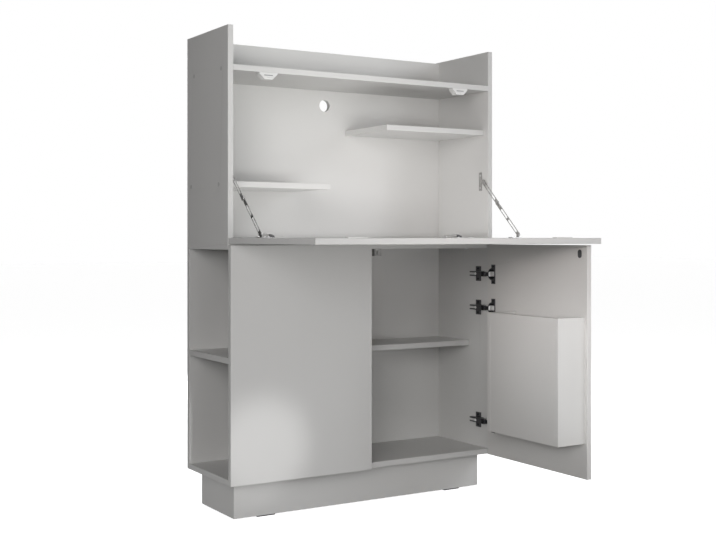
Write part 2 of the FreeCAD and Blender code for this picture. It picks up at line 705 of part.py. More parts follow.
# ------------------------------------------------------- flap stays
# Each stay is two slotted steel arms.  Layers inwards from the hutch side:
# bracket plate 0..2, upper arm 2.3..3.9, lower arm 4.5..6.1, foot lug 6.7...
# The pivots lie on one straight line when the flap is open, and on one line
# again when it is closed.
UY, UZ = P["stay_uy"], P["stay_uz"]
LY, LZ = P["stay_ly"], P["stay_lz"]
AXY = -P["flap_gap"] - P["board"] / 2
AXZ = P["base_zt"] + P["board"] / 2
# closed place of the lower pivot: the flap turns -Y into +Z
CY, CZ = AXY + (LZ - AXZ), AXZ - (LY - AXY)
reach = math.hypot(UY - LY, UZ - LZ)
rest = math.hypot(UY - CY, UZ - CZ)
LEN_LOW = (reach + rest) / 2
LEN_UP = (reach - rest) / 2
OPEN_ANG = math.degrees(math.atan2(UZ - LZ, UY - LY))
SHUT_ANG = math.degrees(math.atan2(UZ - CZ, UY - CY))
print("stay arms", round(LEN_UP, 3), round(LEN_LOW, 3), "open",
      round(OPEN_ANG, 4), "closed", round(SHUT_ANG, 4))
MY = UY - LEN_UP * math.cos(math.radians(OPEN_ANG))
MZ = UZ - LEN_UP * math.sin(math.radians(OPEN_ANG))
HALF = P["stay_wid"] / 2
SIDE = P["half_w"] - P["board"]


def arm_shape(x0, x1, length, slots, eye0, eye1, extra):
    """Flat slotted arm along +Y' with its first eye at the origin; X is the
    thickness.  slots are (start, end) pairs, extra adds rivet heads."""
    body = Part.makeBox(x1 - x0, length, 2 * HALF - 2.0,
                        V(x0, 0, -HALF + 1.0))
    for y in (0, length):
        body = body.fuse(Part.makeCylinder(HALF, x1 - x0, V(x0, y, 0),
                                           V(1, 0, 0)))
    for s0, s1 in slots:
        r = HALF - 3.4
        tool = Part.makeBox(x1 - x0 + 2, s1 - s0 - 2 * r, 2 * r,
                            V(x0 - 1, s0 + r, -r))
        for y in (s0 + r, s1 - r):
            tool = tool.fuse(Part.makeCylinder(r, x1 - x0 + 2,
                                               V(x0 - 1, y, 0), V(1, 0, 0)))
        body = body.cut(tool)
    if eye0:
        body = body.cut(Part.makeCylinder(eye0, x1 - x0 + 2,
                                          V(x0 - 1, 0, 0), V(1, 0, 0)))
    if eye1:
        body = body.cut(Part.makeCylinder(eye1, x1 - x0 + 2,
                                          V(x0 - 1, length, 0), V(1, 0, 0)))
    for e in extra:
        body = body.fuse(e)
    return body.removeSplitter()


def turned(shape, y, z, ang):
    """Turn about X so that local +Y points at `ang`, and move to (y, z)."""
    shape.Placement = FreeCAD.Placement(
        V(0, y + P["y_off"], z), FreeCAD.Rotation(V(1, 0, 0), ang))
    return shape


def feature(label, shape):
    o = doc.addObject("Part::Feature", label)
    pl = shape.Placement
    o.Shape = shape.copy()
    o.Placement = pl
    return keep(o, label)


# right-hand arms; the left-hand ones are their mirror images
THK = P["stay_thk"]
u_x0, u_x1 = SIDE - 2.3 - THK, SIDE - 2.3
l_x0, l_x1 = SIDE - 4.5 - THK, SIDE - 4.5


def disc(rad, x0, x1, y):
    return Part.makeCylinder(rad, x1 - x0, V(x0, y, 0), V(1, 0, 0))


# The elbow rivet belongs to the upper arm: a shoulder, a shank through the
# lower arm and a head on the inner side.  A second rivet head marks the
# upper end, where the arm leaves its bracket while the flap travels.
rivets = [disc(4.2, u_x1, u_x1 + 0.8, LEN_UP),
          disc(4.2, l_x1 + 0.3, u_x0, LEN_UP),
          disc(2.5, l_x0 - 0.4, l_x1 + 0.3, LEN_UP),
          disc(4.2, l_x0 - 1.2, l_x0 - 0.4, LEN_UP),
          disc(4.2, u_x0 - 0.4, u_x0, 0)]
upper = arm_shape(u_x0, u_x1, LEN_UP, [(11, LEN_UP - 17)], None, None,
                  rivets)
ur = feature("stay_upper_arm_right", turned(upper, UY, UZ, OPEN_ANG + 180))
lower = arm_shape(l_x0, l_x1, LEN_LOW,
                  [(12, LEN_LOW - 76), (LEN_LOW - 68, LEN_LOW - 28)], 2.55,
                  2.55, [])
lr = feature("stay_lower_arm_right", turned(lower, LY, LZ, OPEN_ANG))
mirrored("stay_upper_arm_left", ur)
mirrored("stay_lower_arm_left", lr)

# side brackets: a plate with two screws and a tab that carries the pivot
BR0, BR1 = 27.2, 29.3


def bracket(way, down, up):
    """way is +1 on the right side; down and up are its reach from the
    pivot height."""
    s = "" if way > 0 else "-1*"

    def span(n0, n1):
        a = "%s(half_w - board - (%s))" % (s, n1)
        b = "%s(half_w - board - (%s))" % (s, n0)
        return (a, b) if way > 0 else (b, a)

    x0, x1 = span(0, 2)
    plate = box(x0, x1, 30, 44, "stay_uz - %s" % down, "stay_uz + %s" % up)
    tab = box(x0, x1, "stay_uy", 31, "stay_uz - 7", "stay_uz + 7")
    eye = rod("x", x0, x1, "stay_uy", "stay_uz", 7)
    x0, x1 = span(-1, 3)
    zs = ["stay_uz - %s + 9" % down, "stay_uz + %s - 9" % up]
    holes = [rod("x", x0, x1, 37, z, "pilot_rad") for z in zs]
    x0, x1 = span(0.6, 3)
    holes += [rod("x", x0, x1, 37, z, "3.2") for z in zs]
    body = cut(fuse([plate, tab, eye], "bracket"), holes, "stay_bracket")
    side = "hutch_side_right" if way > 0 else "hutch_side_left"
    face = "half_w - board" if way > 0 else "board - half_w"
    B[side].bore("x", face, [("37", z) for z in zs], "pilot_rad",
                 "pilot_len", way)
    at = "(%s) %s 0.6" % (face, "-" if way > 0 else "+")
    for z in zs:
        screw(carcass_screws, "x", -way, at, "37", z, through="0.6")
    return body


# the left bracket sits higher on its pivot, just above the small left shelf
single("stay_bracket_right", bracket(1, BR0, BR1))
single("stay_bracket_left", bracket(-1, BR0 - 8.6, BR1 + 8.6))


def foot(way):
    """Foot plate on the flap with an upright lug and the pivot pin."""
    face = "base_zt + board"
    s = "" if way > 0 else "-1*"

    def span(n0, n1):
        a = "%s(half_w - board - (%s))" % (s, n1)
        b = "%s(half_w - board - (%s))" % (s, n0)
        return (a, b) if way > 0 else (b, a)

    x0, x1 = span(1, 36)
    plate = box(x0, x1, "stay_ly - 9", "stay_ly + 9", face, face + " + 2")
    x0, x1 = span(6.7, 8.7)
    lug = box(x0, x1, "stay_ly - 6", "stay_ly + 6", face + " + 2", "stay_lz")
    eye = rod("x", x0, x1, "stay_ly", "stay_lz", 6)
    x0, x1 = span(4.1, 6.7)
    pin = rod("x", x0, x1, "stay_ly", "stay_lz", 2.5)
    x0, x1 = span(3.5, 4.1)
    head = rod("x", x0, x1, "stay_ly", "stay_lz", 4.4)
    xs = ["%s(half_w - board - %s)" % (s, n) for n in (18, 29)]
    holes = [rod("z", face + " - 1", face + " + 3", x, "stay_ly",
                 "pilot_rad") for x in xs]
    B["flap_panel"].bore("z", face, [(x, "stay_ly") for x in xs],
                         "pilot_rad", "pilot_len", -1)
    for x in xs:
        screw(flap_screws, "z", 1, face + " + 2", x, "stay_ly", through="2")
    return cut(fuse([plate, lug, eye, pin, head], "foot"), holes,
               "stay_foot")


single("stay_foot_right", foot(1))
single("stay_foot_left", foot(-1))

# ------------------------------------------------------- flap catches
catches, magnets, strikes = [], [], []
for s in (-1, 1):
    cx = s * P["catch_x"]
    z1 = P["top_shelf_z"]
    prof = [(-28, 0), (-27, -4), (-12.5, -18.5), (12.5, -18.5), (27, -4),
            (28, 0)]
    wire = Part.makePolygon([V(cx + x, P["y_off"] + 0.0, z1 + z)
                             for x, z in prof + prof[:1]])
    solid = Part.Face(wire).extrude(V(0, 22, 0))
    for x0, x1, z0, z2, dp in ((-13, 13, -8.4, -5.6, 4.0),
                               (-11, 11, -14.8, -13.0, 2.0)):
        solid = solid.cut(Part.makeBox(x1 - x0, dp, z2 - z0,
                                       V(cx + x0, P["y_off"], z1 + z0)))
    for sx in (-16, 16):
        solid = solid.cut(Part.makeCylinder(
            1.7, 40, V(cx + sx, P["y_off"] + 11, z1 - 30), V(0, 0, 1)))
    o = doc.addObject("Part::Feature", uid("catch"))
    o.Shape = solid
    catches.append(o)
    magnets.append(box(cx - 13, cx + 13, "0.6", "4", "top_shelf_z - 8.4",
                       "top_shelf_z - 5.6", "magnet"))
    # strike plate on the flap, opposite the catch when the flap is shut
    yc = "-flap_gap - (top_shelf_z - 11 - base_zt)"
    strikes.append(box(cx - 28, cx + 28, "(%s) - 9" % yc, "(%s) + 9" % yc,
                       "base_zt + board", "base_zt + board + 2.4", "strike"))
group("flap_catches", catches)
group("catch_magnets", magnets)
group("flap_strikes", strikes)
CS = [(s * P["catch_x"] + d, "11") for s in (-1, 1) for d in (-16, 16)]
B["hutch_top_shelf"].bore("z", "top_shelf_z", CS, "pilot_rad", "9", 1)
for x, y in CS:
    # the catch body is about 15 thick where its screws pass
    carcass_screws.append(rod("z", "top_shelf_z - 13", "top_shelf_z + 9",
                              x, y, "pilot_rad", "catch_screw"))

# ------------------------------------------------------- push latch
# Housing under the cabinet top, plunger on the Y axis, strike on the door.
LX = 31.6
LZC = 729.0
house = box(LX - 11.5, LX + 11.5, "3", "72", "720", "base_zt - board",
            "latch_block")
bore = rod("y", "2", "60", LX, LZC, "5.4", "latch_bore")
tabs = box(LX - 11.5, LX + 11.5, "72", "84", "base_zt - board - 3",
           "base_zt - board", "latch_tab")
single("latch_housing", cut(fuse([house, tabs], "latch_body"), [bore],
                            "latch_shell"))
single("latch_plunger", fuse([rod("y", "-0.8", "46", LX, LZC, "5.0"),
                              rod("y", "-0.8", "0.8", LX, LZC, "5.1")],
                             "plunger"))
door_strike = box("door_xi - 1.5", "door_xi", "-421.5 - 7.25",
                  "-421.5 + 7.25", "729 - 4.6", "729 + 4.6")
ends = [rod("x", "door_xi - 1.5", "door_xi", "-421.5", z, "7.25")
        for z in ("729 - 4.6", "729 + 4.6")]
single("door_strike", fuse([door_strike] + ends, "strike_capsule"))

group("carcass_screws", carcass_screws)
group("flap_screws", flap_screws)
group("door_screws", door_screws)

# ------------------------------------------------------- check and write
doc.recompute()
bad = []
for o in doc.Objects:
    if "Invalid" in o.State or "Error" in o.State:
        bad.append("%s state %s" % (o.Label, o.State))
for o in PARTS:
    shp = o.Shape
    if shp.isNull() or not shp.isValid() or not shp.Solids:
        bad.append("%s has a bad shape" % o.Label)
if bad:
    raise RuntimeError("; ".join(bad))
os.makedirs("parts", exist_ok=True)
for o in PARTS:
    o.Shape.exportStep("parts/%s.step" % o.Label)
allb = FreeCAD.BoundBox()
for o in PARTS:
    allb.add(o.Shape.BoundBox)
print(len(PARTS), "parts", "box", [round(v, 3) for v in (
    allb.XMin, allb.XMax, allb.YMin, allb.YMax, allb.ZMin, allb.ZMax)])
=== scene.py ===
import bpy
import bmesh
import json
import math
from mathutils import Vector, Matrix


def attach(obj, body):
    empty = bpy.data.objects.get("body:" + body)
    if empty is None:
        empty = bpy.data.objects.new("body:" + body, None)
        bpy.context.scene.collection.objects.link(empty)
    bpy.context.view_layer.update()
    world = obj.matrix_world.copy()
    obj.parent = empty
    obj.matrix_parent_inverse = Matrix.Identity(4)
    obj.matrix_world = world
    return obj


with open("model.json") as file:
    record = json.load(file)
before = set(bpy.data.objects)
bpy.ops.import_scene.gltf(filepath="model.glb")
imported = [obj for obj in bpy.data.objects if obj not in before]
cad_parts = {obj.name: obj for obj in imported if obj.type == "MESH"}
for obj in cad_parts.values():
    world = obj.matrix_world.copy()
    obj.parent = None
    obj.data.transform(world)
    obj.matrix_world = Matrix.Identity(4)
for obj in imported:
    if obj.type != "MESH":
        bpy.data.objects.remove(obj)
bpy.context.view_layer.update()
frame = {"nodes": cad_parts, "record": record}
NODES = frame["nodes"]

YO = 0.1025                 # carcass front plane in the row frame


# ------------------------------------------------------------- materials
def material(name):
    m = bpy.data.materials.new(name)
    m.use_nodes = True
    nt = m.node_tree
    nt.nodes.clear()
    out = nt.nodes.new("ShaderNodeOutputMaterial")
    bsdf = nt.nodes.new("ShaderNodeBsdfPrincipled")
    nt.links.new(bsdf.outputs["BSDF"], out.inputs["Surface"])
    return m, nt, bsdf


def add(nt, kind, **props):
    n = nt.nodes.new(kind)
    for k, v in props.items():
        setattr(n, k, v)
    return n


def ramp(nt, fac, stops):
    r = nt.nodes.new("ShaderNodeValToRGB")
    els = r.color_ramp.elements
    while len(els) > 1:
        els.remove(els[-1])
    els[0].position, els[0].color = stops[0][0], (*stops[0][1], 1)
    for p, c in stops[1:]:
        e = els.new(p)
        e.color = (*c, 1)
    nt.links.new(fac, r.inputs["Fac"])
    return r.outputs["Color"]


def noise(nt, coord, scale, detail=4.0, rough=0.5, dist=0.0):
    n = nt.nodes.new("ShaderNodeTexNoise")
    n.inputs["Scale"].default_value = scale
    n.inputs["Detail"].default_value = detail
    n.inputs["Roughness"].default_value = rough
    n.inputs["Distortion"].default_value = dist
    nt.links.new(coord, n.inputs["Vector"])
    return n.outputs["Fac"]


def mapping(nt, scale=(1, 1, 1)):
    tc = nt.nodes.new("ShaderNodeTexCoord")
    mp = nt.nodes.new("ShaderNodeMapping")
    mp.inputs["Scale"].default_value = scale
    nt.links.new(tc.outputs["Object"], mp.inputs["Vector"])
    return mp.outputs["Vector"]


def bump(nt, height, bsdf, strength, distance):
    b = nt.nodes.new("ShaderNodeBump")
    b.inputs["Strength"].default_value = strength
    b.inputs["Distance"].default_value = distance
    nt.links.new(height, b.inputs["Height"])
    nt.links.new(b.outputs["Normal"], bsdf.inputs["Normal"])


def mixc(nt, fac, a, b):
    m = nt.nodes.new("ShaderNodeMix")
    m.data_type = "RGBA"
    nt.links.new(fac, m.inputs[0])
    for sock, v in ((m.inputs[6], a), (m.inputs[7], b)):
        if isinstance(v, tuple):
            sock.default_value = (*v, 1)
        else:
            nt.links.new(v, sock)
    return m.outputs[2]


def melamine(name, base, rough=0.52, pearl=0.5):
    """Matt printed melamine: faint mottle, fine pearl texture, and a painted
    highlight, a lighter base colour along the rounded edge band."""
    m, nt, bsdf = material(name)
    v = mapping(nt)
    cloud = noise(nt, v, 3.2, 3.0, 0.55)
    lo = tuple(c * 0.975 for c in base)
    hi = tuple(min(1.0, c * 1.02) for c in base)
    col = ramp(nt, cloud, [(0.30, lo), (0.70, hi)])
    speck = noise(nt, v, 900.0, 2.0, 0.6)
    sp = ramp(nt, speck, [(0.44, (0.95, 0.95, 0.95)), (0.60, (1, 1, 1))])
    mul = nt.nodes.new("ShaderNodeMix")
    mul.data_type = "RGBA"
    mul.blend_type = "MULTIPLY"
    mul.inputs[0].default_value = 0.55
    nt.links.new(col, mul.inputs[6])
    nt.links.new(sp, mul.inputs[7])
    geo = nt.nodes.new("ShaderNodeNewGeometry")
    # painted highlight: pointiness lightens the base colour along convex edges
    edge_highlight = ramp(nt, geo.outputs["Pointiness"],
                [(0.500, (0, 0, 0)), (0.535, (1, 1, 1))])
    col2 = mixc(nt, edge_highlight, mul.outputs[2],
                tuple(min(1.0, c * 1.05) for c in base))
    nt.links.new(col2, bsdf.inputs["Base Color"])
    rn = noise(nt, v, 14.0, 3.0, 0.6)
    mr = nt.nodes.new("ShaderNodeMapRange")
    mr.inputs["To Min"].default_value = rough - 0.05
    mr.inputs["To Max"].default_value = rough + 0.06
    nt.links.new(rn, mr.inputs["Value"])
    nt.links.new(mr.outputs["Result"], bsdf.inputs["Roughness"])
    grain = noise(nt, v, 1400.0, 3.0, 0.65)
    bump(nt, grain, bsdf, 0.10 * pearl, 0.0004)
    bsdf.inputs["Specular IOR Level"].default_value = 0.42
    return m


def metal(name, base, rough, streak_axis=0, scratch=0.06):
    """Rolled and plated steel with fine streaks along one axis."""
    m, nt, bsdf = material(name)
    sc = [260.0, 260.0, 260.0]
    sc[streak_axis] = 16.0
    v = mapping(nt, tuple(sc))
    s = noise(nt, v, 1.0, 5.0, 0.62)
    lo = tuple(c * 0.86 for c in base)
    hi = tuple(min(1.0, c * 1.1) for c in base)
    nt.links.new(ramp(nt, s, [(0.3, lo), (0.7, hi)]),
                 bsdf.inputs["Base Color"])
    mr = nt.nodes.new("ShaderNodeMapRange")
    mr.inputs["To Min"].default_value = max(0.05, rough - 0.09)
    mr.inputs["To Max"].default_value = rough + 0.12
    nt.links.new(s, mr.inputs["Value"])
    nt.links.new(mr.outputs["Result"], bsdf.inputs["Roughness"])
    bump(nt, s, bsdf, scratch, 0.0003)
    bsdf.inputs["Metallic"].default_value = 1.0
    return m


def calc(nt, op, a, b=0.0):
    """Math node on a socket, and a number or a second socket."""
    n = add(nt, "ShaderNodeMath", operation=op)
    nt.links.new(a, n.inputs[0])
    if isinstance(b, (int, float)):
        n.inputs[1].default_value = b
    else:
        nt.links.new(b, n.inputs[1])
    return n.outputs[0]


def mixf(nt, fac, a, b):
    m = nt.nodes.new("ShaderNodeMix")
    m.data_type = "FLOAT"
    nt.links.new(fac, m.inputs[0])
    for sock, v in ((m.inputs[2], a), (m.inputs[3], b)):
        if isinstance(v, (int, float)):
            sock.default_value = v
        else:
            nt.links.new(v, sock)
    return m.outputs[0]


def plated(name, first, others, axis=1):
    """Plated steel whose finish changes by place on the part. A finish is
    (colour, roughness, metallic); others holds (finish, inside)."""
    m, nt, bsdf = material(name)
    tc = add(nt, "ShaderNodeTexCoord")
    sep = add(nt, "ShaderNodeSeparateXYZ")
    nt.links.new(tc.outputs["Object"], sep.inputs[0])
    sc = [260.0, 260.0, 260.0]
    sc[axis] = 16.0
    s = noise(nt, mapping(nt, tuple(sc)), 1.0, 5.0, 0.62)

    def tone(c):
        return ramp(nt, s, [(0.3, tuple(v * 0.86 for v in c)),
                            (0.7, tuple(min(1.0, v * 1.1) for v in c))])

    col, rough, metallic = tone(first[0]), first[1], first[2]
    for fin, inside in others:
        k = inside(nt, *sep.outputs[:3])
        col = mixc(nt, k, col, tone(fin[0]))
        rough = mixf(nt, k, rough, fin[1])
        metallic = mixf(nt, k, metallic, fin[2])
    nt.links.new(col, bsdf.inputs["Base Color"])
    for v, sock in ((rough, "Roughness"), (metallic, "Metallic")):
        if isinstance(v, float):
            bsdf.inputs[sock].default_value = v
        else:
            nt.links.new(v, bsdf.inputs[sock])
    bump(nt, s, bsdf, 0.06, 0.0003)
    return m


def moulded(name, base, rough=0.42, spec=0.45):
    """Injection-moulded plastic with a fine spark texture."""
    m, nt, bsdf = material(name)
    v = mapping(nt)
    n = noise(nt, v, 8.0, 3.0)
    nt.links.new(ramp(nt, n, [(0.3, tuple(c * 0.96 for c in base)),
                              (0.7, tuple(min(1, c * 1.03) for c in base))]),
                 bsdf.inputs["Base Color"])
    g = noise(nt, v, 2200.0, 2.0)
    mr = nt.nodes.new("ShaderNodeMapRange")
    mr.inputs["To Min"].default_value = rough - 0.05
    mr.inputs["To Max"].default_value = rough + 0.08
    nt.links.new(g, mr.inputs["Value"])
    nt.links.new(mr.outputs["Result"], bsdf.inputs["Roughness"])
    bump(nt, g, bsdf, 0.08, 0.0002)
    bsdf.inputs["Specular IOR Level"].default_value = spec
    return m


def wood(name, base, axis=0):
    """Raw close-grained wood: stretched streaks along one axis."""
    m, nt, bsdf = material(name)
    sc = [120.0, 120.0, 120.0]
    sc[axis] = 7.0
    v = mapping(nt, tuple(sc))
    n = noise(nt, v, 1.0, 6.0, 0.6, 0.3)
    dark = tuple(c * 0.70 for c in base)
    nt.links.new(ramp(nt, n, [(0.34, dark), (0.62, base)]),
                 bsdf.inputs["Base Color"])
    bsdf.inputs["Roughness"].default_value = 0.68
    bump(nt, n, bsdf, 0.25, 0.0006)
    return m


WHITE = (0.615, 0.612, 0.602)
M = {
    "carcass_board": melamine("melamine_carcass", WHITE),
    "flap_board": melamine("melamine_flap", (0.63, 0.627, 0.617)),
    "door_board": melamine("melamine_door", (0.625, 0.615, 0.600)),
    "glide_plastic": moulded("glide_plastic", (0.035, 0.035, 0.036), 0.5),
    "corner_block": wood("corner_block", (0.62, 0.46, 0.28), 2),
    "beech_dowel": wood("beech", (0.66, 0.47, 0.27), 0),
    "zinc_fitting": metal("zinc_cast", (0.60, 0.60, 0.61), 0.42),
    "steel_fastener": metal("zinc_plated", (0.66, 0.66, 0.67), 0.30),
    "cap_plastic": moulded("cap_plastic", (0.50, 0.50, 0.49), 0.5),
    "hinge_dark": metal("hinge_dark", (0.045, 0.045, 0.048), 0.34, 1),
    "hinge_bright": metal("hinge_bright", (0.50, 0.50, 0.50), 0.44, 1),
    "stay_steel": metal("stay_steel", (0.43, 0.425, 0.42), 0.26, 2),
    "catch_plastic": moulded("catch_plastic", (0.74, 0.74, 0.73), 0.36),
    "magnet": moulded("magnet", (0.30, 0.30, 0.305), 0.5),
    "strike_plate": moulded("strike_plate", (0.76, 0.757, 0.745), 0.40),
    "latch_plastic": moulded("latch_plastic", (0.36, 0.358, 0.35), 0.45),
    "strike_dark": metal("strike_dark", (0.12, 0.12, 0.124), 0.42),
}

# the door hinges: grey plated flanges, plates and arms, black links, painted
# shade in the bowls and on the arm noses, and nickel with a painted reflection
# where the link turns in the cup
DARK = ((0.045, 0.045, 0.048), 0.34, 1.0)
GREY = ((0.115, 0.115, 0.120), 0.36, 1.0)
# nickel plate with a painted reflection: near-white and barely metallic, so
# the glint is in the colour
NICKEL_AND_GLINT = ((0.95, 0.945, 0.93), 0.38, 0.15)
SATIN = ((0.60, 0.595, 0.585), 0.42, 0.35)


# painted shade: the inside of the bowl gets the darker finish, standing in for
# the shade in its well
def in_bowl(nt, x, y, z):
    return calc(nt, "GREATER_THAN", x, 0.4276)


def cup_glint(nt, x, y, z):
    """Inside the bowl, as wide as the slot the link moves in: a painted
    reflection in near-white nickel.
    """
    rows = None
    for c in (0.204, 0.556, 0.661):
        r = calc(nt, "LESS_THAN",
                 calc(nt, "ABSOLUTE", calc(nt, "SUBTRACT", z, c)), 0.0073)
        rows = r if rows is None else calc(nt, "ADD", rows, r)
    deep = calc(nt, "MULTIPLY", in_bowl(nt, x, y, z),
                calc(nt, "GREATER_THAN", y, YO - 0.024))
    return calc(nt, "MULTIPLY", deep, rows)


# painted highlight: the turned end of the link gets the near-white nickel
# finish
def link_end(nt, x, y, z):
    return calc(nt, "LESS_THAN", y, YO - 0.0155)


# painted shade: the nose of the arm gets the darker finish where its faces
# turn from the light
def arm_nose(nt, x, y, z):
    return calc(nt, "LESS_THAN", y, YO + 0.014)


# the screw head gets the nickel finish with its painted glint
def fork_screw(nt, x, y, z):
    """The head of the screw that clamps the fork of the arm."""
    return calc(nt, "MULTIPLY", calc(nt, "LESS_THAN", x, 0.41795),
                calc(nt, "GREATER_THAN", y, YO + 0.036))


ODD = {
    "door_hinge_cups": plated("hinge_cup_painted_bowl_shade", GREY,
                              [(DARK, in_bowl), (NICKEL_AND_GLINT, cup_glint)]),
    "door_hinge_links": plated("hinge_link_black", DARK,
                               [(NICKEL_AND_GLINT, link_end)]),
    "door_hinge_arms": plated("hinge_arm_grey", GREY,
                              [(DARK, arm_nose), (NICKEL_AND_GLINT, fork_screw)]),
    "door_hinge_plates": plated("hinge_plate_grey", GREY, [], 2),
    "flap_hinge_arms": plated("flap_hinge_arm_satin", SATIN, []),
    "flap_hinge_plates": plated("flap_hinge_plate_satin", SATIN, [], 0),
    "flap_hinge_cups": plated("flap_hinge_cup_satin", SATIN, [], 0),
    "flap_hinge_links": plated("flap_hinge_link", GREY, []),
}
# nickel with a painted reflection, for the cup floor plates
NICKEL_AND_GLINT_PLATE = plated("hinge_nickel_and_glint", NICKEL_AND_GLINT, [])
slot_of = {s["node"]: s["material_slot"]
           for s in frame["record"]["subparts"]}
for n, o in NODES.items():
    mat = ODD.get(n, M[slot_of[n]])
    if not o.material_slots:
        o.data.materials.append(mat)
    for s in o.material_slots:
        s.material = mat

# pressed and moulded hardware has soft arrises
SOFT = {"door_hinge_plates": 0.30, "door_hinge_arms": 0.35,
        "door_hinge_cups": 0.25, "flap_hinge_plates": 0.30,
        "flap_hinge_arms": 0.35, "flap_hinge_cups": 0.25,
        "stay_bracket_left": 0.30, "stay_bracket_right": 0.30,
        "stay_foot_left": 0.30, "stay_foot_right": 0.30,
        "stay_upper_arm_left": 0.25, "stay_upper_arm_right": 0.25,
        "stay_lower_arm_left": 0.25, "stay_lower_arm_right": 0.25,
        "flap_catches": 0.6, "flap_strikes": 0.5, "door_strike": 0.35,
        "latch_housing": 0.6, "floor_glides": 0.5}
for n, wid in SOFT.items():
    o = NODES[n]
    we = o.modifiers.new("weld", "WELD")
    we.merge_threshold = 0.00001
    bv = o.modifiers.new("arris", "BEVEL")
    bv.width = wid / 1000
    bv.segments = 2
    bv.limit_method = "ANGLE"
    bv.angle_limit = math.radians(40)
    bv.use_clamp_overlap = True
    bv.harden_normals = False


# ------------------------------------------------------------- pieces
def mm(x, y, z):
    """Millimetres from the carcass front plane to metres in this frame."""
    return Vector((x / 1000, y / 1000 + YO, z / 1000))


def piece(name, bm, body, mat, smooth=True):
    me = bpy.data.meshes.new(name)
    bmesh.ops.recalc_face_normals(bm, faces=bm.faces)
    for f in bm.faces:
        f.smooth = smooth
    bm.to_mesh(me)
    bm.free()
    me.materials.append(mat)
    o = bpy.data.objects.new(name, me)
    bpy.context.scene.collection.objects.link(o)
    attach(o, body)
    return o


def lathe(bm, prof, seg=28):
    """Closed turned solid about local Z from (radius, height) pairs."""
    rings = []
    for r, z in prof:
        if r == 0:
            rings.append([bm.verts.new((0, 0, z))])
        else:
            rings.append([bm.verts.new((r * math.cos(2 * math.pi * k / seg),
                                        r * math.sin(2 * math.pi * k / seg),
                                        z)) for k in range(seg)])
    for a, b in zip(rings[:-1], rings[1:]):
        for k in range(seg):
            j = (k + 1) % seg
            if len(a) == 1:
                bm.faces.new((a[0], b[k], b[j]))
            elif len(b) == 1:
                bm.faces.new((a[k], a[j], b[0]))
            else:
                bm.faces.new((a[k], a[j], b[j], b[k]))
    return rings


def cross_head():
    """Pan head with a cross recess, in millimetres, base at z = 0."""
    bm = bmesh.new()
    lathe(bm, [(0, 0), (3.35, 0), (3.35, 1.42), (3.22, 1.58), (2.7, 1.79),
               (1.7, 1.95), (0, 2.02)])
    bmesh.ops.recalc_face_normals(bm, faces=bm.faces)
    me = bpy.data.meshes.new("head_tmp")
    bm.to_mesh(me)
    bm.free()
    cutter = bmesh.new()
    for turn in (0, 90):
        r = bmesh.ops.create_cube(cutter, size=1.0)
        for v in r["verts"]:
            taper = 1.0 if v.co.z > 0 else 0.72
            v.co = Vector((v.co.x * 3.7 * taper, v.co.y * 0.82 * taper,
                           1.44 if v.co.z < 0 else 3.0))
        bmesh.ops.rotate(cutter, cent=(0, 0, 0), verts=r["verts"],
                         matrix=Matrix.Rotation(math.radians(turn), 3, "Z"))
    cm = bpy.data.meshes.new("cut_tmp")
    cutter.to_mesh(cm)
    cutter.free()
    a = bpy.data.objects.new("head_tmp", me)
    b = bpy.data.objects.new("cut_tmp", cm)
    for o in (a, b):
        bpy.context.scene.collection.objects.link(o)
    md = a.modifiers.new("cross", "BOOLEAN")
    md.operation = "DIFFERENCE"
    md.object = b
    md.solver = "EXACT"
    md.use_self = True
    deps = bpy.context.evaluated_depsgraph_get()
    out = bpy.data.meshes.new_from_object(a.evaluated_get(deps))
    bpy.data.objects.remove(a)
    bpy.data.objects.remove(b)
    return out


HEAD = cross_head()


def heads(name, body, items, slot="steel_fastener"):
    """items: (x, y, z, outward direction, turn) in millimetres."""
    bm = bmesh.new()
    for x, y, z, d, turn in items:
        rot = Vector(d).to_track_quat("Z", "Y").to_matrix().to_4x4()
        m = (Matrix.Translation(mm(x, y, z)) @ rot
             @ Matrix.Rotation(math.radians(turn), 4, "Z")
             @ Matrix.Scale(0.001, 4))
        before = len(bm.verts)
        bm.from_mesh(HEAD)
        bm.verts.ensure_lookup_table()
        for v in bm.verts[before:]:
            v.co = m @ v.co
    return piece(name, bm, body, M[slot], smooth=False)


DH = (204.0, 556.0, 661.0)
heads("door_hinge_plate_screw_heads", "cabinet",
      [(431.0, 46.5, c + w, (-1, 0, 0), 17 * k)
       for k, (c, w) in enumerate((c, w) for c in DH for w in (-16, 16))],
      "hinge_dark")
heads("flap_hinge_plate_screw_heads", "cabinet",
      [(x + w, 40.0, 776.0, (0, 0, 1), 23 * k) for k, (x, w) in
       enumerate((x, w) for x in (-320, 320) for w in (-16, 16))])
heads("door_cup_screw_heads", "door",
      [(426.3, -35.3, c + w, (-1, 0, 0), 31 * k)
       for k, (c, w) in enumerate((c, w) for c in DH for w in (-24, 24))],
      "hinge_dark")
heads("flap_screw_heads", "flap",
      [(x + w, -32.7, 774.2, (0, 0, 1), 13 * k) for k, (x, w) in
       enumerate((x, w) for x in (-320, 320) for w in (-24, 24))]
      + [(s * x, -153.8, 775.0, (0, 0, 1), 37 * i) for s in (-1, 1)
         for i, x in enumerate((416.0, 405.0))])

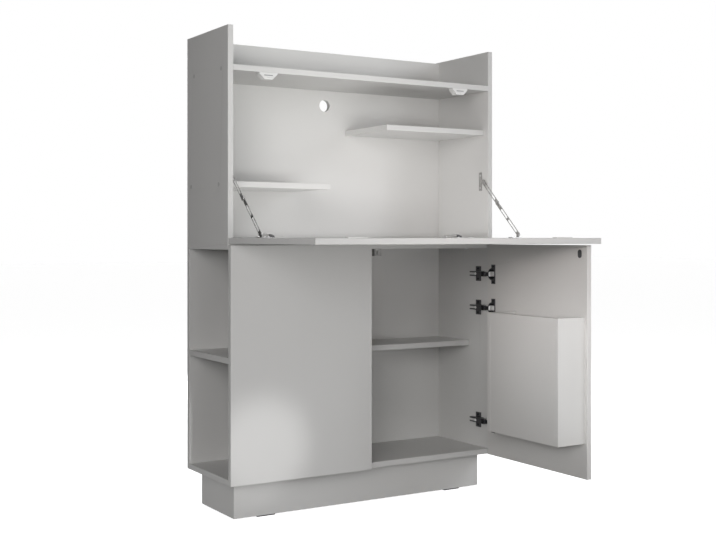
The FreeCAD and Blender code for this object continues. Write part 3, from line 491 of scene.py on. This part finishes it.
# nickel floor plates in the door hinge cups, low enough for the links,
# carrying a painted reflection: near-white colour in place of a glint
bm = bmesh.new()
for c in DH:
    pts = []
    for l, w in ((11.6, 4.6), (13.4, 7.2), (23.6, 7.2), (25.0, 6.0)):
        pts.append((l, w))
    loop = pts + [(l, -w) for l, w in reversed(pts)]
    for k in (0,):
        lo = [bm.verts.new(mm(434 + 5.0, -l, c + w)) for l, w in loop]
        hi = [bm.verts.new(mm(434 + 4.0, -l, c + w)) for l, w in loop]
        bm.faces.new(lo)
        bm.faces.new(list(reversed(hi)))
        for i in range(len(loop)):
            j = (i + 1) % len(loop)
            bm.faces.new((lo[i], lo[j], hi[j], hi[i]))
plates = piece("hinge_cup_floor_plates", bm, "door", NICKEL_AND_GLINT_PLATE,
               smooth=False)
bv = plates.modifiers.new("arris", "BEVEL")
bv.width = 0.0003
bv.segments = 2

# ------------------------------------------------------------- stage
floor = bpy.data.meshes.new("floor")
bm = bmesh.new()
bmesh.ops.create_grid(bm, x_segments=2, y_segments=2, size=30.0)
bm.to_mesh(floor)
bm.free()
fo = bpy.data.objects.new("floor", floor)
bpy.context.scene.collection.objects.link(fo)
fm, fnt, fb = material("floor_pale")
fb.inputs["Base Color"].default_value = (0.93, 0.93, 0.93, 1)
fb.inputs["Roughness"].default_value = 0.9
fb.inputs["Emission Color"].default_value = (1, 1, 1, 1)
fb.inputs["Emission Strength"].default_value = 0.9
floor.materials.append(fm)
fo.visible_diffuse = False

w = bpy.data.worlds.new("studio")
bpy.context.scene.world = w
w.use_nodes = True
bg = w.node_tree.nodes["Background"]
bg.inputs["Color"].default_value = (1, 1, 1, 1)
bg.inputs["Strength"].default_value = 1.0
w.cycles_visibility.diffuse = False
w.cycles_visibility.transmission = False


def aimed(name, d, loc, aim, power, color):
    d.energy = power
    d.color = color
    o = bpy.data.objects.new(name, d)
    o.location = loc
    o.rotation_euler = (Vector(aim) - Vector(loc)).to_track_quat(
        "-Z", "Y").to_euler()
    o.visible_camera = False
    bpy.context.scene.collection.objects.link(o)
    return o


def area(name, loc, aim, size, power, color=(1, 1, 1)):
    d = bpy.data.lights.new(name, "AREA")
    d.shape = "RECTANGLE"
    d.size, d.size_y = size
    return aimed(name, d, loc, aim, power, color)


def spot(name, loc, aim, angle, blend, soft, power, color=(1, 1, 1)):
    d = bpy.data.lights.new(name, "SPOT")
    d.spot_size = math.radians(angle)
    d.spot_blend = blend
    d.shadow_soft_size = soft
    return aimed(name, d, loc, aim, power, color)


area("right_front_high", (3.0, -2.5, 2.6), (0, 0, 0.8), (1.4, 1.4), 31,
     (0.95, 0.97, 1.0))
area("right_front", (2.6, -3.2, 1.3), (0, 0, 0.8), (1.2, 1.2), 16.7,
     (0.94, 0.97, 1.0))
area("low_front_right", (1.6, -3.0, 0.3), (0, 0, 0.9), (1.2, 0.4), 4.6,
     (1.0, 0.95, 0.90))
area("front_low", (0, -3.6, 0.35), (0, 0, 0.9), (2.4, 0.5), 20)
area("front_left", (-3.0, -3.4, 1.6), (0, 0, 0.8), (1.6, 1.6), 62.4,
     (1.0, 0.991, 0.983))
area("front_left_high", (-2.6, -2.6, 2.8), (0, 0, 0.9), (1.4, 1.4), 9.5,
     (1.0, 0.93, 0.93))
area("top", (0, -0.4, 4.0), (0, 0, 0.8), (2.0, 1.6), 11.6,
     (0.95, 1.0, 0.98))
area("niche", (-2.6, -0.9, 0.9), (-0.3, 0.2, 0.45), (0.8, 0.8), 9.4)
area("bounce", (0, -0.05, 0.782), (0, -0.05, 2.0), (0.75, 0.30), 0.3,
     (1.0, 0.93, 0.90))
area("bounce_wide", (0, 0.10, 0.783), (0, 0.14, 2.0), (0.84, 0.50), 0.54)
area("back", (0.3, 3.3, 1.0), (0, 0.38, 0.75), (1.2, 1.2), 45)
area("back_right", (3.2, 1.8, 1.0), (0.45, 0.25, 0.75), (1.2, 1.2), 45)
spot("hutch_left", (-1.1, -2.0, 1.0), (0.25, 0.25, 1.05), 26, 0.6, 0.30,
     11.2, (1.0, 0.80, 0.77))
spot("hutch_up", (-0.5, -1.6, 0.80), (-0.1, 0.25, 1.30), 28, 0.6, 0.30,
     37.3, (0.98, 1.0, 0.97))
spot("panel_patch", (-0.5, -2.4, 0.3), (-0.352, 0.10, 0.20), 7.4, 0.55,
     0.05, 65.8)
spot("door_patch", (-0.9, -2.0, 0.75), (0.43, -0.36, 0.42), 15, 0.7, 0.08,
     55.2, (0.95, 0.98, 1.0))
spot("door_top", (-1.8, -1.7, 1.0), (0.43, -0.22, 0.64), 13, 0.6, 0.15,
     58.9, (1.0, 0.92, 0.90))

# a black studio card behind the left, seen only in glossy reflections
card = bpy.data.meshes.new("card")
bm = bmesh.new()
bmesh.ops.create_grid(bm, x_segments=2, y_segments=2, size=1.1)
bm.to_mesh(card)
bm.free()
co = bpy.data.objects.new("card", card)
co.location = (-1.05, 1.15, 0.95)
co.rotation_euler = Vector((0.44, -0.90, 0)).to_track_quat(
    "Z", "Y").to_euler()
bpy.context.scene.collection.objects.link(co)
cm, cnt, cb = material("card_black")
cb.inputs["Base Color"].default_value = (0.01, 0.01, 0.01, 1)
cb.inputs["Roughness"].default_value = 1.0
cb.inputs["Specular IOR Level"].default_value = 0.0
card.materials.append(cm)
co.visible_camera = False
co.visible_diffuse = False
co.visible_transmission = False
co.visible_shadow = False
bpy.context.scene.view_settings.view_transform = "Standard"

# ------------------------------------------------------------- camera
cd = bpy.data.cameras.new("camera")
cam = bpy.data.objects.new("camera", cd)
bpy.context.scene.collection.objects.link(cam)
cam.location = (-1.75563, -2.70706, 0.77591)
cam.rotation_euler = (math.radians(90), 0, math.radians(-31.43))
cd.sensor_width = 36.0
cd.lens = 1141.217 / 716 * 36.0
cd.shift_x = 0.0
cd.shift_y = (236.884 - 270.0) / 716
cd.dof.use_dof = False
bpy.context.scene.camera = cam
